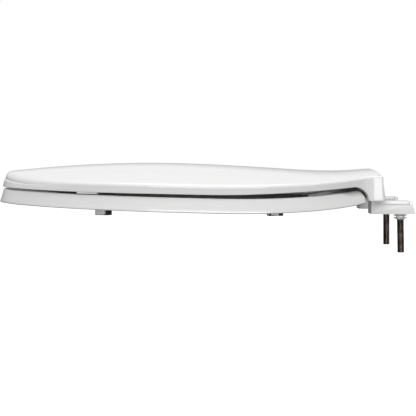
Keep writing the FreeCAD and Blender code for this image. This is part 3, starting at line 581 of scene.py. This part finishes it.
LID_PLASTIC = plastic("lid_plastic", (0.80, 0.80, 0.795), 0.010, 0.10, 0.05, coat=0.35)
SEAT_PLASTIC = plastic("seat_plastic", (0.79, 0.79, 0.785), 0.010, 0.12, 0.05, coat=0.35)
BASE_PLASTIC = plastic("base_plastic", (0.67, 0.67, 0.665), 0.015, 0.30, 0.08, 1400.0, 0.006 * MM)
COVER_PLASTIC = plastic("cover_plastic", (0.69, 0.69, 0.685), 0.012, 0.24, 0.07, 1400.0, 0.004 * MM)
NYLON = plastic("white_nylon", (0.84, 0.85, 0.85), 0.03, 0.48, 0.10, 1800.0, 0.01 * MM)
DAMPER = plastic("damper_plastic", (0.060, 0.062, 0.065), 0.01, 0.42, 0.10, 1500.0, 0.01 * MM)
BUMPER = rubber("bumper_rubber", (0.88, 0.88, 0.875), 0.04)
GRIP = rubber("grip_rubber", (0.022, 0.022, 0.021), 0.02)
BOLT_STEEL = steel("bolt_steel", (0.022, 0.017, 0.015), (0.22, 0.185, 0.165), 0.28, (1, 1, 0.03))
PIN_STEEL = steel("pin_steel", (0.42, 0.42, 0.41), (0.55, 0.55, 0.54), 0.22, (0.05, 1, 1))


# ---------------------------------------------------------------- lid
def rim_height(y):
    """Lower edge of the lid: a gap above the seat, then a bend down to the cowl's foot."""
    ahead = min(y, BEND_START)
    edge = seat_foot(ahead) + SEAT_THICK + rim_gap(ahead)
    share = min(1.0, max(0.0, (y - BEND_START) / (LEG_FRONT - BEND_START)))
    return COWL_FOOT + (edge - COWL_FOOT) * (1 - share ** BEND_POWER) ** 0.5


def lid_shell():
    """The lid's shell as rings of points: out over the top, down the wall, and back up inside."""
    outline = lid_outline()
    outward = normals_of(outline)
    columns = range(len(outline))
    rim = [rim_height(point.y) for point in outline]
    tips = [blend_weight(WIDEST_Y - point.y, *TIP_BLEND) for point in outline]

    def wall(index, inset, z):
        """A point on the leaning wall, inset from its outer face."""
        point, normal = outline[index], outward[index]
        cowl = blend_weight(point.y, COWL_START, SEAT_REAR)
        lean = LID_LEAN * (z - TIP_FOOT) * (1 - cowl) + COWL_LEAN * (z - COWL_FOOT) * cowl
        lean += tips[index] * (TIP_SETBACK + TIP_LEAN * (z - TIP_RIM))
        flat = point - normal * (inset + lean)
        return Vector((flat.x, flat.y, z))

    def under_top(index, inset, drop):
        """A point inset from the wall and lowered below the crowned top."""
        flat = wall(index, inset, lid_top(outline[index].x, outline[index].y) - SHOULDER)
        return Vector((flat.x, flat.y, lid_top(flat.x, flat.y) - drop))

    def rounded_top(index, radius, pair, depth):
        """A point of the top's rounded edge, or at a depth below it, of the edge inside."""
        reach = radius + (TIP_SHOULDER - SHOULDER) * tips[index]
        return under_top(index, depth + pair[0] * reach, depth + pair[1] * reach)

    def dome(share, radius, drop):
        """A ring of the top, or at a drop below it, of the ceiling inside."""
        ring = []
        for index in columns:
            edge = rounded_top(index, radius, (1.0, 0.0), drop)
            flat = DOME_CENTRE.lerp(Vector((edge.x, edge.y)), share)
            ring.append(Vector((flat.x, flat.y, lid_top(flat.x, flat.y) - drop)))
        return ring

    rows = [dome(share, SHOULDER, 0.0) for share in DOME_SHARES]
    rows += [[rounded_top(index, SHOULDER, pair, 0.0) for index in columns] for pair in rounding(1.0, 9)]
    shoulder = rows[-1]
    for share in (0.1, 0.3, 0.5, 0.7, 0.9):
        ring = []
        for index in columns:
            low = rim[index] + LIP
            ring.append(wall(index, 0.0, shoulder[index].z + (low - shoulder[index].z) * share))
        rows.append(ring)
    for inset, drop in reversed(rounding(LIP, 4)):
        rows.append([wall(index, inset, rim[index] + drop) for index in columns])
    for inset, drop in rounding(LIP, 4):
        rows.append([wall(index, LID_WALL - inset, rim[index] + drop) for index in columns])
    for pair in reversed(rounding(1.0, 5)):
        rows.append([rounded_top(index, INNER_ROUND, pair, LID_WALL) for index in columns])
    rows += [dome(share, INNER_ROUND, LID_WALL) for share in reversed(DOME_SHARES)]
    verts = [point for ring in rows for point in ring]
    faces = grid_faces(len(rows), len(outline))
    top, under = len(verts), len(verts) + 1
    last = len(verts) - len(outline)
    peak = lid_top(*DOME_CENTRE)
    verts += [Vector((*DOME_CENTRE, peak)), Vector((*DOME_CENTRE, peak - LID_WALL))]
    for index in columns:
        after = (index + 1) % len(outline)
        faces += [(index, after, top), (last + after, last + index, under)]
    return new_object("lid_skin", verts, faces)


def cut_notches(lid):
    """Openings in the cowl's rear wall round the posts and the seat's knuckles."""
    inner = BOLT_X - BASE_HALF - KNUCKLE - 3 * SIDE_GAP
    outer = BOLT_X + BASE_HALF + SIDE_GAP
    for _, side in SIDES:
        low_x, high_x = sorted((side * inner, side * outer))
        cutter = bevelled_box("cutter", (low_x, AXIS.y + 1.5 * MM, COWL_FOOT - 10 * MM),
                              (high_x, COWL_BACK + 10 * MM, AXIS.z + 2 * BARREL), 1.2 * MM)
        combine(lid, cutter, "DIFFERENCE")


# ---------------------------------------------------------------- seat
def opening_point(angle):
    """A point of the ring's opening at an angle about the widest station."""
    reach = FRONT_HALF_AXIS - FRONT_RIM if math.sin(angle) < 0 else SEAT_REAR - WIDEST_Y - REAR_RIM
    scale = 1 / math.hypot(math.cos(angle) / (SEAT_HALF - SIDE_RIM), math.sin(angle) / reach)
    return Vector((scale * math.cos(angle), WIDEST_Y + scale * math.sin(angle)))


def recess_depth(y):
    """Depth of the recess in the underside, which ends ahead of the knuckles."""
    return RECESS_DEPTH * (1 - blend_weight(y, *RECESS_END))


def seat_ring():
    """The seat's ring as closed rings of points: up the outer wall, over the top, down the opening, back under."""
    outer = seat_outline()
    columns = range(len(outer))
    outward = normals_of(outer)
    inner = []
    for point in outer:
        inner.append(opening_point(math.atan2(point.y - WIDEST_Y, point.x)))
    inward = [-normal for normal in normals_of(inner)]

    def outside(index, inset, up):
        """A point on the flared outer wall, inset from its face, up from the underside."""
        z = seat_foot(outer[index].y) + up
        flat = outer[index] - outward[index] * (inset + SEAT_FLARE * (z - TIP_FOOT) / SEAT_THICK)
        return Vector((flat.x, flat.y, seat_foot(flat.y) + up))

    def inside(index, inset, up):
        """A point on the opening's wall, inset into the ring, up from the underside."""
        flat = inner[index] - inward[index] * inset
        return Vector((flat.x, flat.y, seat_foot(flat.y) + up))

    def across(index, share, insets, up):
        """A point of the top or the underside, between the two edges."""
        flat = outside(index, insets[0], up).lerp(inside(index, insets[1], up), share)
        return Vector((flat.x, flat.y, seat_foot(flat.y) + up))

    def ring(place, *values):
        return [place(index, *values) for index in columns]

    edges = [SEAT_EDGE + (REAR_EDGE - SEAT_EDGE) * blend_weight(point.y, *REAR_EDGE_BLEND) for point in outer]
    rows = [ring(outside, inset, up) for inset, up in rounding(SEAT_FOOT_ROUND, 4)]
    for share in (0.2, 0.5, 0.8):
        rows.append([outside(index, 0.0, SEAT_FOOT_ROUND + (SEAT_THICK - edges[index] - SEAT_FOOT_ROUND) * share)
                     for index in columns])
    for inset, drop in reversed(rounding(1.0, 9)):
        rows.append([outside(index, inset * edges[index], SEAT_THICK - drop * edges[index]) for index in columns])
    for share in (0.08, 0.2, 0.33, 0.46, 0.6, 0.74, 0.88):
        dip = SEAT_DISH * share ** 1.4
        rows.append([across(index, share, (edges[index], BORE_EDGE), SEAT_THICK - dip) for index in columns])
    for inset, drop in rounding(BORE_EDGE, 8):
        rows.append(ring(inside, inset, SEAT_THICK - SEAT_DISH - drop))
    rows.append(ring(inside, 0.0, SEAT_THICK / 3))
    for inset, up in reversed(rounding(SEAT_FOOT_ROUND, 4)):
        rows.append(ring(inside, inset, up))
    for inset, share in RECESS_WALL:
        rows.append([inside(index, RECESS_RIM + inset, share * recess_depth(inner[index].y)) for index in columns])
    for share in (0.75, 0.5, 0.25):
        rows.append([across(index, share, (RECESS_RIM, RECESS_RIM), recess_depth(outer[index].y))
                     for index in columns])
    for inset, share in reversed(RECESS_WALL):
        rows.append([outside(index, RECESS_RIM + inset, share * recess_depth(outer[index].y)) for index in columns])
    verts = [point for row in rows for point in row]
    return new_object("seat_skin", verts, grid_faces(len(rows), len(outer), closed_rows=True))


# ---------------------------------------------------------------- bolts and bushings
def threaded_bolt(name):
    """A bolt with a rolled helical thread, a plain shank and a socket head."""
    low, high = box_of(f"mounting_bolt_{name}")
    centre = Vector(((low.x + high.x) / 2, 0.0, 0.0))
    foot, top = low.z, high.z
    head_radius, head_foot = (high.x - low.x) / 2, top - BOLT_HEAD
    thread_top = box_of(f"bolt_bushing_{name}")[0].z - 0.3 * MM
    shank = BOLT_RADIUS - 0.1 * MM
    # each station is a radius, a height and a share of the thread's depth
    stations = [(BOLT_RADIUS - 1.0 * MM, foot, 0.0), (BOLT_RADIUS - 0.45 * MM, foot + 0.35 * MM, 0.0)]
    z = foot + 0.8 * MM
    while z < thread_top:
        fade = min(1.0, (z - foot) / (2.5 * MM), (thread_top - z) / (2.0 * MM))
        stations.append((BOLT_RADIUS, z, fade))
        z += THREAD_PITCH / 8
    stations += [(shank, thread_top, 0.0), (shank, head_foot, 0.0), (head_radius - 0.3 * MM, head_foot, 0.0),
                 (head_radius, head_foot + 0.3 * MM, 0.0), (head_radius, top - 1.0 * MM, 0.0),
                 (head_radius - 0.3 * MM, top - 0.3 * MM, 0.0), (head_radius - 1.0 * MM, top, 0.0)]
    verts = []
    for radius, height, fade in stations:
        for index in range(BOLT_SEGMENTS):
            phase = (height / THREAD_PITCH - index / BOLT_SEGMENTS) % 1.0
            groove = max(0.0, min(1.0, 1.6 - 3.2 * abs(phase - 0.5)))
            reach = radius - THREAD_DEPTH * fade * groove
            verts.append(around(centre, reach, 2 * math.pi * index / BOLT_SEGMENTS, height))
    bolt = new_object(f"bolt_{name}_threaded", verts, capped_grid(len(stations), BOLT_SEGMENTS))
    combine(bolt, hexagon_prism(SOCKET_RADIUS, top - SOCKET_DEPTH, top + 1 * MM, centre), "DIFFERENCE")
    sharpen(bolt, 35)
    pivot = Matrix.Translation(centre + Vector((0, 0, head_foot - 1.5 * MM)))
    bolt.data.transform(pivot @ Matrix.Rotation(math.radians(BOLT_LEAN[name]), 4, "X") @ pivot.inverted())
    return bolt


def hexagon_prism(radius, low, high, centre):
    """An upright prism, for cutting a socket."""
    verts = [around(centre, radius, math.radians(60 * step), z) for z in (low, high) for step in range(6)]
    return new_object("socket", verts, capped_grid(2, 6))


def barbed_bushing(name):
    """A sleeve with two rows of separate barbs that spread upwards."""
    low, high = box_of(f"bolt_bushing_{name}")
    centre = Vector(((low.x + high.x) / 2, 0.0, 0.0))
    core, inner, tip = BUSHING_CORE, BUSHING_BORE, (high.x - low.x) / 2
    edge, segments = 0.25 * MM, 48
    section = (
        (inner, low.z + edge), (inner + edge, low.z), (core - edge, low.z), (core, low.z + edge),
        (core, high.z - edge), (core - edge, high.z), (inner + edge, high.z), (inner, high.z - edge),
    )
    verts = [around(centre, radius, 2 * math.pi * step / segments, z)
             for radius, z in section for step in range(segments)]
    sleeve = new_object(f"bushing_{name}_sleeve", verts, grid_faces(len(section), segments, closed_rows=True))
    verts, faces = [], []
    for row in range(2):
        foot = low.z + row * (high.z - low.z) / 2 + 0.4 * MM
        profile = ((core - 0.3 * MM, foot), (tip - 0.5 * MM, foot + 0.95 * MM), (tip, foot + 1.2 * MM),
                   (tip, foot + 1.5 * MM), (tip - 0.4 * MM, foot + 1.6 * MM), (core - 0.3 * MM, foot + 0.9 * MM))
        for barb in range(BARBS):
            first = 2 * math.pi * (barb + 0.5 * row) / BARBS - BARB_SPREAD / 2
            start = len(verts)
            for cut in range(BARB_SLICES):
                angle = first + BARB_SPREAD * cut / (BARB_SLICES - 1)
                verts += [around(centre, radius, angle, z) for radius, z in profile]
            faces += [tuple(start + index for index in face) for face in capped_grid(BARB_SLICES, len(profile))]
    join(sleeve, new_object(f"bushing_{name}_barbs", verts, faces))
    sharpen(sleeve, 40)
    return sleeve


# ---------------------------------------------------------------- assembly
seat = seat_ring()
sharpen(seat, 42)
arms = []
for name, side in SIDES:
    x = side * (BOLT_X - BASE_HALF - SIDE_GAP - KNUCKLE / 2)
    arms.append(knuckle(f"seat_arm_{name}", x, (SEAT_REAR - KNUCKLE_ROOT, AXIS.z - BARREL),
                        (AXIS.y, seat_foot(SEAT_REAR) + SEAT_THICK - ARM_DROP)))
    for place in ("front", "rear"):
        node = f"seat_bumper_{place}_{name}"
        box_low, box_high = box_of(node)
        foot = seat_foot((box_low.y + box_high.y) / 2)
        arms.append(turned_block(f"island_{place}_{name}", node, ISLAND[0], (-ISLAND[1], ISLAND[1]),
                                 [foot + height for height in ISLAND_HEIGHTS]))
join(seat, *arms)
finish(seat, "seat", SEAT_PLASTIC, "seat_plastic", "seat_ring")

lid = lid_shell()
cut_notches(lid)
sharpen(lid, 40)
parts = []
for name, side in SIDES:
    x = side * (BOLT_X + BASE_HALF + SIDE_GAP + KNUCKLE / 2)
    parts.append(knuckle(f"lid_web_{name}", x, (AXIS.y - BARREL, AXIS.z),
                         (AXIS.y + BARREL - 1 * MM, lid_top(x, AXIS.y) - WEB_DROP)))
    node = f"lid_bumper_{name}"
    box_low, box_high = box_of(node)
    middle = (box_low + box_high) / 2
    parts.append(turned_block(f"boss_{name}", node, BOSS[0], (-BOSS[1], BOSS[1]),
                              (box_high.z - BOSS_OVERLAP, lid_top(middle.x, middle.y) - BOSS_ROOT)))
join(lid, *parts)
finish(lid, "lid", LID_PLASTIC, "lid_plastic", "lid_shell")

for name, _ in SIDES:
    finish(softened(f"hinge_base_{name}", f"base_{name}_body", 0.45 * MM), "hinge_bases", BASE_PLASTIC,
           "base_plastic", f"hinge_base_{name}")
    finish(softened(f"bolt_cover_{name}", f"cover_{name}_body", 0.35 * MM), f"cover_{name}", COVER_PLASTIC,
           "cover_plastic", f"bolt_cover_{name}")
    finish(threaded_bolt(name), f"bolt_{name}", BOLT_STEEL, "bolt_steel", f"mounting_bolt_{name}")
    finish(softened(f"bolt_washer_{name}", f"washer_{name}", 0.15 * MM), f"bolt_{name}", PIN_STEEL,
           "pin_steel", f"bolt_washer_{name}")
    finish(barbed_bushing(name), f"bolt_{name}", NYLON, "white_nylon", f"bolt_bushing_{name}")
    finish(softened(f"lid_bumper_{name}", f"lid_pad_{name}", 1.0 * MM), "lid", BUMPER, "bumper_rubber",
           f"lid_bumper_{name}")
    for place in ("front", "rear"):
        node = f"seat_bumper_{place}_{name}"
        pad = turned_block(f"pad_{place}_{name}", node, PAD_HALF, PAD_ENDS, (PAD_FOOT, box_of(node)[1].z - PAD_ROOT))
        finish(pad, "seat", BUMPER, "bumper_rubber", node)
        finish(softened(f"bumper_grip_{place}_{name}", f"grip_{place}_{name}", 0.4 * MM), "seat", GRIP,
               "grip_rubber", f"bumper_grip_{place}_{name}")

# The small turned parts inside the hinges keep their CAD shape.
for node, look in (("damper_body", DAMPER), ("damper_rotor", DAMPER), ("pivot_pin", PIN_STEEL),
                   ("pivot_bush", NYLON), ("cover_pin", PIN_STEEL)):
    for name, _ in SIDES:
        for material_slot in frame["nodes"][f"{node}_{name}"].material_slots:
            material_slot.material = look


# ---------------------------------------------------------------- floor, light and camera
def pale_floor():
    """A plain pale floor, which the object's reflections and bounced light leave out."""
    floor = bevelled_box("floor", (-FLOOR_HALF, -FLOOR_HALF, FLOOR_Z - 0.1), (FLOOR_HALF, FLOOR_HALF, FLOOR_Z), 0.05)
    paper, nodes, links, shader, coords = material("paper")
    fibres = noise(nodes, links, coords, 40.0, 8.0)
    links.new(ramp(nodes, links, fibres, (0.90, 0.90, 0.90), (0.93, 0.93, 0.93)), shader.inputs["Base Color"])
    shader.inputs["Roughness"].default_value = 0.9
    shader.inputs["Specular IOR Level"].default_value = 0.1
    shader.inputs["Emission Color"].default_value = (1, 1, 1, 1)
    shader.inputs["Emission Strength"].default_value = FLOOR_GLOW
    bump(nodes, links, shader, fibres, 0.1, 0.2 * MM)
    floor.data.materials.append(paper)
    floor.visible_diffuse = False
    floor.visible_glossy = False


def world_light():
    """White for the camera; for light, a bright dome with a grey band along the horizon."""
    world = bpy.data.worlds.new("studio")
    bpy.context.scene.world = world
    world.use_nodes = True
    nodes, links = world.node_tree.nodes, world.node_tree.links
    nodes.clear()
    coords = nodes.new("ShaderNodeTexCoord")
    split = nodes.new("ShaderNodeSeparateXYZ")
    links.new(coords.outputs["Generated"], split.inputs["Vector"])
    shade = nodes.new("ShaderNodeValToRGB")
    elements = shade.color_ramp.elements
    while len(elements) < len(DOME):
        elements.new(0.5)
    for element, (height, level) in zip(elements, DOME):
        element.position = height
        element.color = (level, level, level, 1)
    remap = nodes.new("ShaderNodeMapRange")
    remap.inputs["From Min"].default_value = -1.0
    links.new(split.outputs["Z"], remap.inputs["Value"])
    links.new(remap.outputs["Result"], shade.inputs["Fac"])
    light = nodes.new("ShaderNodeBackground")
    links.new(shade.outputs["Color"], light.inputs["Color"])
    seen = nodes.new("ShaderNodeBackground")
    seen.inputs["Color"].default_value = (1, 1, 1, 1)
    path = nodes.new("ShaderNodeLightPath")
    mix = nodes.new("ShaderNodeMixShader")
    links.new(path.outputs["Is Camera Ray"], mix.inputs["Fac"])
    links.new(light.outputs["Background"], mix.inputs[1])
    links.new(seen.outputs["Background"], mix.inputs[2])
    output = nodes.new("ShaderNodeOutputWorld")
    links.new(mix.outputs["Shader"], output.inputs["Surface"])


def area_light(name, place, aim, width, height, power):
    light = bpy.data.lights.new(name, "AREA")
    light.shape = "RECTANGLE"
    light.size, light.size_y = width, height
    light.energy = power
    obj = bpy.data.objects.new(name, light)
    obj.location = place
    obj.rotation_euler = (Vector(aim) - Vector(place)).to_track_quat("-Z", "Y").to_euler()
    bpy.context.collection.objects.link(obj)
    return obj


def low_light():
    """A low light at the camera's side that reaches the small pieces only, so the gap under the lid stays dark."""
    kicker = area_light("kicker", (2.1, -0.25, -0.14), (0.0, -0.25, 0.02), 2.2, 0.24, KICKER_POWER)
    small_pieces = bpy.data.collections.new("small_pieces")
    for obj in bpy.context.scene.objects:
        if obj.name.startswith(KICKER_LIGHTS):
            small_pieces.objects.link(obj)
    kicker.light_linking.receiver_collection = small_pieces


def camera():
    lens = bpy.data.cameras.new("camera")
    lens.lens = LENS
    lens.sensor_width = 36.0
    lens.clip_end = 50.0
    eye = bpy.data.objects.new("camera", lens)
    eye.location = EYE
    eye.rotation_euler = (math.radians(90 - EYE_PITCH), 0.0, math.radians(90))
    bpy.context.collection.objects.link(eye)
    bpy.context.scene.camera = eye


pale_floor()
world_light()
area_light("overhead", (0.1, -0.25, 1.3), (0.0, -0.25, 0.0), 1.0, 1.4, OVERHEAD_POWER)
area_light("side", (2.2, -0.25, 0.75), (0.0, -0.25, 0.0), 2.2, 0.7, SIDE_POWER)
low_light()
camera()
bpy.context.scene.view_settings.view_transform = "Standard"
